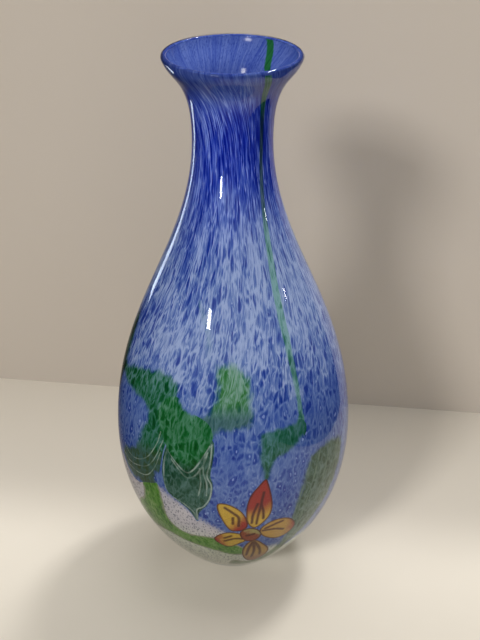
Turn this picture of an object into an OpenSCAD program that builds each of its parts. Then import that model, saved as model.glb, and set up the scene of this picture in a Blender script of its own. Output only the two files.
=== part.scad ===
// Hand blown art glass vase: three fused layers of glass with leaves, stems and a flower
// let into the colour layer. Millimetres, +Z up, origin at the centre of the foot, front at -Y.

/* [Body] */
// Overall height, foot to lip
height = 320; // [312:1:340]
// Radius of the ground flat that the vase stands on
foot_r = 27; // [22:0.5:34]
// Largest outer radius
belly_r = 70; // [60:0.5:80]
// Height of the largest radius
belly_z = 91; // [80:1:105]

/* [Neck and mouth] */
// Smallest outer radius
neck_r = 22.8; // [20:0.1:28]
// Height of the smallest radius
neck_z = 271.4; // [255:0.1:280]
// Outer radius just under the lip
mouth_r = 39; // [34:0.5:46]

/* [Curvature] */
// How far the foot runs out before it turns up
heel_out = 15.5; // [12:0.5:18]
// How far it has risen by then
heel_up = 12.3; // [9:0.1:15]
// Fullness of the wall below the belly
belly_below = 50.5; // [40:0.5:60]
// Fullness of the wall above the belly
belly_above = 77; // [60:1:90]
// Length of the straight run into the neck from below
neck_below = 64.5; // [50:0.5:75]
// Length of the straight run out of the neck
neck_above = 35; // [25:0.5:40]
// How far the flare runs out just before the lip
flare_out = 4.3; // [3:0.1:6]
// How far it rises over that run
flare_up = 12; // [9:0.5:15]

/* [Glass] */
// Thickness of the clear casing at the lip
casing_lip = 1.4; // [1:0.1:2]
// Thickness of the clear casing at the foot
casing_heel = 11; // [8:0.5:13]
// Thickness of the frit layer
frit_t = 1; // [0.6:0.1:1.4]
// Thickness of the inner gather at the lip
gather_lip = 1.1; // [0.8:0.1:1.6]
// Thickness of the inner gather at the foot
gather_heel = 3; // [1.6:0.1:4]

/* [Decoration] */
// Top of the white frit round the foot
skirt_z = 34; // [28:0.5:36]

/* [Hidden] */

$fn = 128;
steps = 12;                                      // straight pieces in each stretch of the wall
floor_steps = 4;                                 // and in the rounded floor of a layer
lip_steps = 8;                                   // and in the round of the lip
corner_steps = 2;                                // and in each rounded corner of an outline
wall_t = casing_lip + frit_t + gather_lip;       // whole wall at the lip
lip_r = wall_t / 2;                              // the lip is a full round
flare_run = [flare_out, flare_up];
lip_run = flare_run / norm(flare_run);           // which way the wall runs at the lip
lip_z = height - lip_r * (1 + lip_run[0]);

// Every spot below is [degrees round from the front, height]; a cane's third number is its width.
flower_at = [10.3, 46.6];
flower_heart_edge = [[3.4, 50], [8.6, 53.4], [14.4, 51], [17, 45.6], [14.2, 40.2], [8, 40], [4.2, 44.4]];
petal_top_edge = [[10.4, 52.5], [7, 58], [6.6, 70], [8.6, 79], [12, 84], [16.4, 90.5], [18, 84], [19.6, 76],
    [20.6, 68], [19.6, 61], [16, 55.5], [13, 52.5]];
petal_upper_left_edge = [[-8, 73.5], [-8.2, 68], [-5.4, 59], [-2, 51], [2, 50], [6.6, 51.5], [8.4, 55],
    [7, 62], [4, 68], [-2, 73]];
petal_lower_left_edge = [[-12.5, 42], [-8, 47.5], [-2, 50], [4, 48.4], [8.4, 45], [8, 40.5], [3.6, 38],
    [-1, 34.6], [-6, 35.6]];
petal_bottom_edge = [[9.4, 39.6], [6.2, 33], [6.4, 25], [10, 18], [16, 14.4], [23, 15.4], [28, 22],
    [26, 29], [21, 34], [16, 39.6], [13, 41]];
petal_right_edge = [[14.6, 51], [19, 55.6], [25, 57.4], [32, 55.4], [37, 50], [38.6, 44], [34, 39],
    [27, 38], [20, 41.4], [15.4, 46]];
front_stem_line = [[36.5, 112, 4], [36, 135, 4.2], [35, 160, 5], [34.6, 185, 5.2], [36.6, 208, 4.8],
    [40, 232, 3.4], [43.6, 256, 2.8], [46.6, 274, 2.8], [44, 290, 3.2], [36, 306, 4.4], [28, 321, 5.4]];
side_stem_line = [[104, 112, 4], [101, 140, 3.6], [98, 170, 3.4], [96, 200, 3.2], [96, 230, 2.8],
    [97, 256, 2.4], [98, 276, 2.4], [104, 294, 3], [120, 308, 4], [146, 321, 5.5]];
side_leaf_edge = [[-84, 174], [-78, 160], [-76.5, 142], [-78, 124], [-86, 110], [-99, 104], [-103, 122],
    [-98, 145], [-92, 163]];
centre_stem_edge = [[-28, 193], [-19, 187], [-12, 173], [-10, 158], [-15, 158], [-18, 170], [-25, 182]];
left_leaf_edge = [[-78, 136], [-67, 143], [-50, 147], [-39, 150], [-30, 146], [-27, 138], [-33, 127],
    [-33, 112], [-36, 101], [-38, 88], [-40, 77], [-48, 74], [-58, 68], [-68, 72], [-74, 82], [-68, 90],
    [-58, 94], [-53, 103], [-52, 112], [-47, 120], [-52, 126], [-64, 125], [-78, 129]];
heart_leaf_edge = [[-42, 124], [-37, 112], [-33, 103], [-28.4, 97], [-23.2, 92.6], [-19.4, 95],
    [-15.6, 102], [-11, 111.6], [-9, 118], [-12, 125], [-18, 128], [-24, 131], [-28, 137], [-36, 135]];
pointed_leaf_edge = [[-34, 107], [-36.4, 95], [-36.8, 81], [-34.2, 72.4], [-26, 67.6], [-21.4, 62],
    [-19.8, 56], [-18, 57], [-17.4, 64.6], [-13.6, 68.4], [-10, 76], [-9, 85.6], [-10.6, 92], [-9.2, 101],
    [-8, 112], [-12, 118], [-22, 112], [-30, 108]];
centre_leaf_edge = [[-9.8, 158.4], [-3, 160.4], [3.4, 158.6], [8.2, 155], [11.6, 148.6], [12.8, 142],
    [10.4, 136.4], [13, 129.6], [11.6, 122.6], [5.9, 118.8], [-1.9, 119.4], [-7.6, 117.4], [-11, 113.6],
    [-17, 116], [-20.6, 123.4], [-14.4, 131], [-10.8, 138.4], [-9.4, 146.4], [-11.4, 153]];
right_upper_leaf_edge = [[13.6, 87], [12.4, 99], [11.6, 113], [14, 120.4], [25, 120.6], [36, 123],
    [40, 116], [36, 107], [28, 102.4], [22, 100], [20.6, 93], [18, 85]];
right_lower_leaf_edge = [[40, 98], [35.4, 81], [32, 62], [31.4, 50], [32.6, 38], [31, 29], [36, 25],
    [44, 26.4], [54, 42.4], [62, 56], [67, 70], [71, 86], [68, 97], [58, 101], [48, 101]];
green_trail_edge = [[-51, 79], [-40, 79], [-38.4, 66], [-39, 52], [-34, 45], [-26, 42.6], [-11, 44.4],
    [-1, 40], [5, 35], [9, 31], [9, 24], [-2, 25.4], [-16, 31], [-31, 33.6], [-42, 37], [-54, 36],
    [-70, 32], [-72, 44], [-62, 54], [-54, 60], [-52.6, 68]];
base_leaf_edge = [[-6, 9.5], [-4, 15], [2, 19], [9, 15], [20, 15], [28, 22], [33, 31], [42, 29], [38, 17],
    [28, 9.5]];
white_crest_edge = [[-84, 30], [-87, 58], [-79, 79], [-66, 86], [-54, 84], [-44, 80], [-36, 76], [-27, 71],
    [-20, 63], [-12, 57.6], [-6, 53], [-1, 46], [3, 34]];
back_left_leaf_edge = [[104, 114], [116, 122], [134, 126], [150, 116], [162, 96], [168, 76], [156, 78],
    [142, 82], [128, 88], [114, 98]];
back_right_leaf_edge = [[166, 134], [180, 138], [198, 130], [210, 112], [214, 92], [210, 78], [198, 84],
    [184, 94], [172, 110]];

// The outer wall is three Bezier stretches: foot to belly, belly to neck, neck to lip.
stretches = [
    [[foot_r, 0], [foot_r + heel_out, heel_up], [belly_r, belly_z - belly_below], [belly_r, belly_z]],
    [[belly_r, belly_z], [belly_r, belly_z + belly_above], [neck_r, neck_z - neck_below], [neck_r, neck_z]],
    [[neck_r, neck_z], [neck_r, neck_z + neck_above], [mouth_r, lip_z] - flare_run, [mouth_r, lip_z]]
];

function bezier(p, t) =
    pow(1 - t, 3) * p[0] + 3 * pow(1 - t, 2) * t * p[1] + 3 * (1 - t) * t * t * p[2] + pow(t, 3) * p[3];
function bezier_run(p, t) =
    3 * pow(1 - t, 2) * (p[1] - p[0]) + 6 * (1 - t) * t * (p[2] - p[1]) + 3 * t * t * (p[3] - p[2]);

// u runs from 0 at the foot to 3 at the lip, one for each stretch.
function stretch_of(u) = min(floor(u), 2);
function wall_point(u) = bezier(stretches[stretch_of(u)], u - stretch_of(u));
function wall_run(u) = bezier_run(stretches[stretch_of(u)], u - stretch_of(u));
function wall_outward(u) = [wall_run(u)[1], -wall_run(u)[0]] / norm(wall_run(u));

// The glass gathers towards the foot: full weight at u = 0, hardly any from the neck up.
function gathering(u) = pow(1 - u / 3, 5);
function casing_depth(u) = casing_lip + (casing_heel - casing_lip) * gathering(u);
function frit_depth(u) = casing_depth(u) + frit_t;
function gather_depth(u) = frit_depth(u) + gather_lip + (gather_heel - gather_lip) * gathering(u);

all_u = [for (i = [0 : 3 * steps]) i / steps];
outer_curve = [for (u = all_u) wall_point(u)];
casing_curve = [for (u = all_u) wall_point(u) - casing_depth(u) * wall_outward(u)];
frit_curve = [for (u = all_u) wall_point(u) - frit_depth(u) * wall_outward(u)];
gather_curve = [for (u = all_u) wall_point(u) - gather_depth(u) * wall_outward(u)];

// A layer's floor is an arc from the axis that runs smoothly into the start of its curve.
function floor_angle(c) = atan2(c[1][1] - c[0][1], c[1][0] - c[0][0]);
function floor_arc(c) =
    let (a = floor_angle(c), r = c[0][0] / sin(a), centre_z = c[0][1] + r * cos(a))
    [for (i = [0 : floor_steps - 1]) [r * sin(a * i / floor_steps), centre_z - r * cos(a * i / floor_steps)]];
function layer(c) = concat(floor_arc(c), c);
function reversed(p) = [for (i = [len(p) - 1 : -1 : 0]) p[i]];

// Half round from the outer wall over to the inner one.
lip_centre = wall_point(3) - lip_r * wall_outward(3);
lip_arc = [for (i = [1 : lip_steps - 1])
    lip_centre + lip_r * (cos(180 * i / lip_steps) * wall_outward(3) + sin(180 * i / lip_steps) * lip_run)];

// Radii of the outer wall and of the frit layer's outer face at a height, and the wall's lean
outer_by_height = [for (p = outer_curve) [p[1], p[0]]];
frit_by_height = [for (p = casing_curve) [p[1], p[0]]];
function lean(z) = atan2(lookup(z + 1, outer_by_height) - lookup(z - 1, outer_by_height), 2);
function around(turn, r, z) = [r * sin(turn), -r * cos(turn), z];

// A spot on the vase is [degrees round from the front, height]. flat() gives its place in the plane
// that leans against the wall at another spot, so outlines can be drawn as they lie on the glass.
function flat(spot, at, tilt) =
    let (way = around(spot[0], lookup(spot[1], frit_by_height), spot[1])
        - around(at[0], lookup(at[1], outer_by_height), at[1]))
    [way * [cos(at[0]), sin(at[0]), 0], way * [sin(at[0]) * sin(tilt), -cos(at[0]) * sin(tilt), cos(tilt)]];

// Pushes an outline of spots straight through the layers, from a little outside the wall.
module let_in(at, spots, tilt, deep = 20, proud = 9) {
    rotate([0, 0, at[0]])
        translate([0, -lookup(at[1], outer_by_height), at[1]])
            rotate([90 + tilt, 0, 0])
                translate([0, 0, -deep]) linear_extrude(deep + proud)
                    polygon([for (s = spots) flat(s, at, tilt)]);
}

// Rounds an outline: each corner becomes a curve that touches the middles of the two edges beside it.
function soft(p) = [for (i = [0 : len(p) - 1]) let (
    before = p[(i + len(p) - 1) % len(p)],
    after = p[(i + 1) % len(p)]
) for (j = [0 : corner_steps - 1]) let (t = j / corner_steps)
    pow(1 - t, 2) * (before + p[i]) / 2 + 2 * (1 - t) * t * p[i] + t * t * (p[i] + after) / 2];

// The two sides of a cane along [degrees, height, width] spots; a width turns into degrees by the radius.
function half_turn(s) = s[2] / 2 / lookup(s[1], frit_by_height) * 180 / PI;
function cane(line) = concat(
    [for (s = line) [s[0] + half_turn(s), s[1]]],
    reversed([for (s = line) [s[0] - half_turn(s), s[1]]])
);

// A leaf is pushed in along the wall's lean; a stem, which climbs the whole wall, straight in.
stem_tilt = 0;
stem_deep = 36;
stem_proud = 34;
module leaf(at, outline) let_in(at, soft(outline), lean(at[1]));
module stem(at, line) let_in(at, soft(cane(line)), stem_tilt, stem_deep, stem_proud);

// Outlines of the pieces let into the frit layer
module front_stem_shape() stem([38, 200], front_stem_line);
module side_stem_shape() stem([112, 200], side_stem_line);
module side_leaf_shape() leaf([-88, 140], side_leaf_edge);
module centre_stem_shape() leaf([-18, 174], centre_stem_edge);
module green_trail_shape() leaf([-36, 50], green_trail_edge);
module base_leaf_shape() leaf([5, 16], base_leaf_edge);
module left_leaf_shape() leaf([-50, 118], left_leaf_edge);
module heart_leaf_shape() leaf([-21, 112], heart_leaf_edge);
module pointed_leaf_shape() leaf([-22, 88], pointed_leaf_edge);
module centre_leaf_shape() leaf([1, 138], centre_leaf_edge);
module right_upper_leaf_shape() leaf([25, 105], right_upper_leaf_edge);
module right_lower_leaf_shape() leaf([45, 70], right_lower_leaf_edge);
module back_left_leaf_shape() leaf([138, 100], back_left_leaf_edge);
module back_right_leaf_shape() leaf([188, 108], back_right_leaf_edge);
module petal_top_shape() leaf([13.5, 68], petal_top_edge);
module petal_upper_left_shape() leaf([0, 62], petal_upper_left_edge);
module petal_lower_left_shape() leaf([-1, 43], petal_lower_left_edge);
module petal_bottom_shape() leaf([16, 28], petal_bottom_edge);
module petal_right_shape() leaf([26, 48], petal_right_edge);
module flower_heart_shape() leaf(flower_at, flower_heart_edge);
module white_skirt_shape() {
    leaf([-45, 55], white_crest_edge);
    translate([0, 0, -1]) cylinder(h = skirt_z + 1, r = belly_r + 2);
}

module petal_shapes() {
    petal_top_shape();
    petal_upper_left_shape();
    petal_lower_left_shape();
    petal_bottom_shape();
    petal_right_shape();
    flower_heart_shape();
}

module all_shapes() {
    white_skirt_shape();
    front_stem_shape();
    side_stem_shape();
    side_leaf_shape();
    centre_stem_shape();
    green_trail_shape();
    base_leaf_shape();
    left_leaf_shape();
    heart_leaf_shape();
    pointed_leaf_shape();
    centre_leaf_shape();
    right_upper_leaf_shape();
    right_lower_leaf_shape();
    back_left_leaf_shape();
    back_right_leaf_shape();
    petal_shapes();
}

module frit_body() {
    rotate_extrude() polygon(concat(layer(casing_curve), reversed(layer(frit_curve))));
}

// A piece let right through the frit layer, flush with both its faces.
module inlay() {
    intersection() {
        frit_body();
        children();
    }
}

module clear_casing() {
    color("lightcyan", 0.3) rotate_extrude()
        polygon(concat([[0, 0]], outer_curve, lip_arc, [gather_curve[len(gather_curve) - 1]],
            reversed(layer(casing_curve))));
}

module blue_frit_layer() {
    color("royalblue") difference() {
        frit_body();
        all_shapes();
    }
}

module inner_gather() {
    color("lavender") rotate_extrude()
        polygon(concat(layer(frit_curve), reversed(layer(gather_curve))));
}

module white_frit_skirt() {
    color("aliceblue") inlay() difference() {
        white_skirt_shape();
        green_trail_shape();
        side_leaf_shape();
        left_leaf_shape();
        pointed_leaf_shape();
        right_lower_leaf_shape();
        base_leaf_shape();
        petal_shapes();
    }
}

module front_stem() {
    color("darkgreen") inlay() difference() {
        front_stem_shape();
        right_upper_leaf_shape();
    }
}

module side_stem() {
    color("green") inlay() difference() {
        side_stem_shape();
        back_left_leaf_shape();
    }
}

module side_leaf() color("darkgreen") inlay() side_leaf_shape();
module centre_stem() {
    color("darkseagreen") inlay() difference() {
        centre_stem_shape();
        centre_leaf_shape();
    }
}

module green_trail() {
    color("limegreen") inlay() difference() {
        green_trail_shape();
        left_leaf_shape();
        petal_shapes();
    }
}

module base_leaf() {
    color("limegreen") inlay() difference() {
        base_leaf_shape();
        right_lower_leaf_shape();
        petal_shapes();
    }
}

module left_leaf() color("seagreen") inlay() left_leaf_shape();

module heart_leaf() {
    color("darkgreen") inlay() difference() {
        heart_leaf_shape();
        left_leaf_shape();
    }
}

module pointed_leaf() {
    color("darkslategray") inlay() difference() {
        pointed_leaf_shape();
        heart_leaf_shape();
        left_leaf_shape();
    }
}

module centre_leaf() {
    color("mediumseagreen") inlay() difference() {
        centre_leaf_shape();
        heart_leaf_shape();
        pointed_leaf_shape();
    }
}

module right_upper_leaf() {
    color("mediumseagreen") inlay() difference() {
        right_upper_leaf_shape();
        petal_top_shape();
    }
}

module right_lower_leaf() {
    color("darkgreen") inlay() difference() {
        right_lower_leaf_shape();
        petal_shapes();
    }
}

module back_left_leaf() color("seagreen") inlay() back_left_leaf_shape();
module back_right_leaf() color("seagreen") inlay() back_right_leaf_shape();

module petal() {
    color("firebrick") inlay() difference() {
        children();
        flower_heart_shape();
    }
}

module petal_top() petal() petal_top_shape();
module petal_upper_left() {
    petal() difference() {
        petal_upper_left_shape();
        petal_top_shape();
    }
}

module petal_lower_left() {
    petal() difference() {
        petal_lower_left_shape();
        petal_upper_left_shape();
    }
}

module petal_bottom() {
    petal() difference() {
        petal_bottom_shape();
        petal_lower_left_shape();
    }
}

module petal_right() {
    petal() difference() {
        petal_right_shape();
        petal_top_shape();
        petal_bottom_shape();
    }
}

module flower_heart() color("olive") inlay() flower_heart_shape();

clear_casing();
blue_frit_layer();
inner_gather();
white_frit_skirt();
front_stem();
side_stem();
side_leaf();
centre_stem();
green_trail();
base_leaf();
left_leaf();
heart_leaf();
pointed_leaf();
centre_leaf();
right_upper_leaf();
right_lower_leaf();
back_left_leaf();
back_right_leaf();
petal_top();
petal_upper_left();
petal_lower_left();
petal_bottom();
petal_right();
flower_heart();
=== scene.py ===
"""Hand blown art glass vase: clear casing over a blue frit layer with leaves, stems and a flower let in.

Lengths in the tables are millimetres and become metres where the meshes are made.
A spot on the vase is (degrees round from the front, height); the front looks along -Y.
"""

import math

import bpy
import numpy as np
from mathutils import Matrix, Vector
from mathutils.geometry import delaunay_2d_cdt


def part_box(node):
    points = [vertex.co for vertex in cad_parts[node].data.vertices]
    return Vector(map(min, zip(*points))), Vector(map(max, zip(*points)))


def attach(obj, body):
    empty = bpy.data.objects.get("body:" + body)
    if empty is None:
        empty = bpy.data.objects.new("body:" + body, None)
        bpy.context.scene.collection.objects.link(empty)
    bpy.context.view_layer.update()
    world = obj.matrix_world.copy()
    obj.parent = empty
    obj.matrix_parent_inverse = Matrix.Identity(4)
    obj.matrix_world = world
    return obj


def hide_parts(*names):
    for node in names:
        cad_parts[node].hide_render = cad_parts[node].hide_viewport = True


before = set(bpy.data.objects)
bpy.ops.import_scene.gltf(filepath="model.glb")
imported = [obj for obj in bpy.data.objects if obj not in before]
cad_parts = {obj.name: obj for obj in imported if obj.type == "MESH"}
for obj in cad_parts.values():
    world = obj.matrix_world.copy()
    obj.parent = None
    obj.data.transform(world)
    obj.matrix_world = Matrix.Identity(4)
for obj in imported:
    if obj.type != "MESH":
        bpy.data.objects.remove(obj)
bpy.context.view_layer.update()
MM = 0.001

# ---------------------------------------------------------------- the wall of the vase
casing_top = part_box("clear_casing")[1]
HEIGHT = casing_top.z / MM
BELLY_R = casing_top.x / MM
FOOT_R, BELLY_Z = 27.0, 91.0
NECK_R, NECK_Z = 22.8, 271.4
MOUTH_R = 39.0
HEEL_OUT, HEEL_UP = 15.5, 12.3
BELLY_BELOW, BELLY_ABOVE = 50.5, 77.0
NECK_BELOW, NECK_ABOVE = 64.5, 35.0
FLARE_OUT, FLARE_UP = 4.3, 12.0
CASING_LIP, CASING_HEEL = 1.4, 11.0
FRIT_T = 1.0
GATHER_LIP, GATHER_HEEL = 1.1, 3.0

LIP_R = (CASING_LIP + FRIT_T + GATHER_LIP) / 2
LIP_RUN = np.array([FLARE_OUT, FLARE_UP]) / math.hypot(FLARE_OUT, FLARE_UP)
LIP_Z = HEIGHT - LIP_R * (1 + LIP_RUN[0])
# three Bezier stretches: foot to belly, belly to neck, neck to lip
STRETCHES = [
    [(FOOT_R, 0), (FOOT_R + HEEL_OUT, HEEL_UP), (BELLY_R, BELLY_Z - BELLY_BELOW), (BELLY_R, BELLY_Z)],
    [(BELLY_R, BELLY_Z), (BELLY_R, BELLY_Z + BELLY_ABOVE), (NECK_R, NECK_Z - NECK_BELOW), (NECK_R, NECK_Z)],
    [
        (NECK_R, NECK_Z), (NECK_R, NECK_Z + NECK_ABOVE),
        (MOUTH_R - FLARE_OUT, LIP_Z - FLARE_UP), (MOUTH_R, LIP_Z),
    ],
]


def smoothstep(low, high, x):
    t = np.clip((np.asarray(x, float) - low) / (high - low), 0, 1)
    return t * t * (3 - 2 * t)


def wall(u):
    """Points (r, z) and outward directions of the outer wall; u runs from 0 at the foot to 3 at the lip."""
    u = np.atleast_1d(np.asarray(u, float))
    k = np.minimum(u.astype(int), 2)
    t = (u - k)[:, None]
    a, b, c, d = np.moveaxis(np.array(STRETCHES, float)[k], 1, 0)
    spot = (1 - t) ** 3 * a + 3 * (1 - t) ** 2 * t * b + 3 * (1 - t) * t * t * c + t**3 * d
    run = (1 - t) ** 2 * (b - a) + 2 * (1 - t) * t * (c - b) + t * t * (d - c)
    run /= np.linalg.norm(run, axis=1)[:, None]
    return spot, np.stack([run[:, 1], -run[:, 0]], 1)


def gathering(u):
    """How far the glass has sunk towards the heel while it was hot: 1 at the foot, 0 at the lip."""
    return (1 - np.asarray(u) / 3) ** 5


def casing_depth(u):
    return CASING_LIP + (CASING_HEEL - CASING_LIP) * gathering(u)


def frit_depth(u):
    return casing_depth(u) + FRIT_T


def gather_depth(u):
    return frit_depth(u) + GATHER_LIP + (GATHER_HEEL - GATHER_LIP) * gathering(u)


def offset_curve(depth, u):
    spot, out = wall(u)
    return spot - depth(u)[:, None] * out


def with_floor(curve, steps=24):
    """Adds the rounded floor: an arc from the axis that runs smoothly into the curve."""
    first, second = curve[0], curve[1]
    a = math.atan2(second[1] - first[1], second[0] - first[0])
    r = first[0] / math.sin(a)
    t = a * np.arange(steps) / steps
    arc = np.stack([r * np.sin(t), first[1] + r * math.cos(a) - r * np.cos(t)], 1)
    return np.vstack([arc, curve])


FINE_U = np.linspace(0, 3, 601)
FRIT_FACE = offset_curve(casing_depth, FINE_U)
FRIT_FACE_FULL = with_floor(FRIT_FACE)


def frit_radius(z):
    return np.interp(z, FRIT_FACE_FULL[:, 1], FRIT_FACE_FULL[:, 0])


def around(turn, r, z):
    a = np.radians(turn)
    return np.stack([r * np.sin(a), -r * np.cos(a), np.broadcast_to(z, np.shape(a * r))], -1)


def on_frit(turn, z, proud=0.0):
    """Points on the frit layer's outer face, moved out along its normal."""
    turn, z = np.asarray(turn, float), np.asarray(z, float)
    step = 0.5
    slope = (frit_radius(z + step) - frit_radius(z - step)) / (2 * step)
    size = np.sqrt(1 + slope**2)
    return around(turn, frit_radius(z) + proud / size, z - proud * slope / size)


# ---------------------------------------------------------------- how the glass was drawn out
# The frit grains were round before the gather was blown and pulled: they stay so in "flow" space,
# a cylinder as wide as the belly, and come out tall and narrow where the neck was drawn.
GRAIN_STRETCH = [
    (0, 0.95), (45, 0.85), (80, 0.62), (130, 0.46), (190, 0.38),
    (235, 0.27), (275, 0.17), (300, 0.2), (320, 0.3),
]
TWIST = [(0, -6), (60, 0), (120, -4), (190, -14), (240, -16), (275, -14), (290, -9), (320, 10)]
TWIST_BLUR = 81
FINE_Z = np.linspace(0, HEIGHT, 641)
_rate = np.interp(FINE_Z, *zip(*GRAIN_STRETCH))
FLOW_Z = np.concatenate([[0], np.cumsum((_rate[1:] + _rate[:-1]) / 2 * np.diff(FINE_Z))])
_twist = np.interp(FINE_Z, *zip(*TWIST))
_blur = np.hanning(TWIST_BLUR + 2)[1:-1]
TWIST_EVEN = np.convolve(np.pad(_twist, TWIST_BLUR // 2, mode="edge"), _blur / _blur.sum(), "valid")


def flow_of(turn, z):
    """Where a spot's glass was before it was drawn out."""
    return around(turn + np.interp(z, FINE_Z, TWIST_EVEN), BELLY_R, np.interp(z, FINE_Z, FLOW_Z))


# Patches of the frit layer: (turn, height, spread in degrees, spread in mm, strength)
PALE_PATCHES = [
    (15, 222, 12, 14, 0.5), (35, 212, 14, 24, 0.6), (58, 190, 20, 38, 0.9), (20, 180, 16, 16, 0.35),
    (-5, 178, 14, 22, 0.45), (-20, 165, 14, 16, 0.5), (-48, 165, 16, 14, 0.5), (-5, 245, 7, 9, 0.7),
    (66, 90, 22, 26, 0.4), (150, 200, 40, 40, 0.7), (-140, 190, 36, 36, 0.6), (-95, 215, 18, 26, 0.35),
    (-62, 235, 8, 34, 0.3), (-22, 300, 20, 10, 0.25), (170, 150, 40, 20, 0.4),
]
DEEP_PATCHES = [
    (-80, 308, 34, 14, 0.9), (70, 306, 24, 12, 0.4),
    (-40, 262, 30, 28, 0.8), (5, 270, 24, 22, 1.0), (35, 275, 30, 30, 1.0), (20, 250, 12, 18, 0.6),
    (65, 290, 30, 24, 1.0), (15, 228, 9, 12, 0.6), (-42, 230, 26, 20, 0.55), (62, 238, 16, 18, 0.7),
    (110, 270, 50, 34, 0.9), (-100, 272, 50, 34, 0.9), (180, 275, 60, 34, 0.9), (-78, 165, 16, 30, 0.6),
    (60, 120, 26, 18, 0.55), (0, 100, 16, 22, 0.35), (-65, 122, 14, 14, 0.5), (30, 75, 12, 18, 0.5),
    (4, 62, 16, 14, 0.5), (-130, 120, 40, 30, 0.5), (130, 140, 40, 30, 0.4), (-40, 196, 30, 10, 0.3),
]


def patches(table, turn, z):
    total = np.zeros(np.broadcast(turn, z).shape)
    for at_turn, at_z, spread_turn, spread_z, strength in table:
        away = (np.asarray(turn) - at_turn + 180) % 360 - 180
        total += strength * np.exp(-((away / spread_turn) ** 2) - ((np.asarray(z) - at_z) / spread_z) ** 2)
    return np.clip(total, 0, 1)


def zone_of(turn, z):
    """Red: how deep the blue is. Green: how pale and grey it is. Blue: how far the wall was drawn out.
    Alpha: how much contrast the grain has, which is little where the lip was heated last."""
    drawn = smoothstep(195, 275, z) * (1 - 0.35 * smoothstep(290, 312, z))
    lively = 1 - 0.5 * smoothstep(290, 310, z)
    return np.stack([patches(DEEP_PATCHES, turn, z), patches(PALE_PATCHES, turn, z), drawn, lively], -1)


# ---------------------------------------------------------------- meshes
def new_piece(name, node, verts, faces, material, sharp=35):
    mesh = bpy.data.meshes.new(name)
    mesh.from_pydata([tuple(v) for v in np.asarray(verts) * MM], [], faces)
    mesh.polygons.foreach_set("use_smooth", [True] * len(mesh.polygons))
    mesh.set_sharp_from_angle(angle=math.radians(sharp))
    mesh.materials.append(material)
    piece = bpy.data.objects.new(name, mesh)
    bpy.context.scene.collection.objects.link(piece)
    if node:
        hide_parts(node)
    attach(piece, "root")
    return piece


def store(piece, name, values):
    values = np.asarray(values, np.float32)
    kind, field = {1: ("FLOAT", "value"), 3: ("FLOAT_VECTOR", "vector"), 4: ("FLOAT_COLOR", "color")}[
        values.shape[-1] if values.ndim > 1 else 1
    ]
    layer = piece.data.attributes.new(name, kind, "POINT")
    layer.data.foreach_set(field, values.ravel())


def revolve(profile, turns):
    """Vertices, faces and turns of a solid of revolution; the profile starts and may end on the axis."""
    profile = np.asarray(profile, float)
    ends = (profile[0, 0] < 1e-9, profile[-1, 0] < 1e-9)
    rings = profile[ends[0] : len(profile) - ends[1]]
    angle = 360 * np.arange(turns) / turns
    verts = [around(angle, r, z) for r, z in rings]
    turn = [angle] * len(rings)
    count = len(rings) * turns
    faces = []
    wrap = [*range(1, turns), 0]
    last_pair = len(rings) - (0 if not any(ends) else 1)
    for i in range(last_pair):
        a, b = i * turns, (i + 1) % len(rings) * turns
        faces += [(a + j, a + wrap[j], b + wrap[j], b + j) for j in range(turns)]
    for at_end, on_axis, ring in ((profile[0], ends[0], 0), (profile[-1], ends[1], len(rings) - 1)):
        if on_axis:
            verts.append(np.array([[0, 0, at_end[1]]]))
            turn.append(np.zeros(1))
            a = ring * turns
            fan = [(count, a + wrap[j], a + j) for j in range(turns)]
            faces += fan if ring == 0 else [f[::-1] for f in fan]
            count += 1
    return np.vstack(verts), faces, np.concatenate(turn)


# ---------------------------------------------------------------- node trees
def linear(r, g, b):
    """A colour given as it looks on a screen, 0 to 255, as linear light."""
    shares = (r / 255, g / 255, b / 255)
    return tuple(c / 12.92 if c <= 0.04045 else ((c + 0.055) / 1.055) ** 2.4 for c in shares) + (1,)


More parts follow.
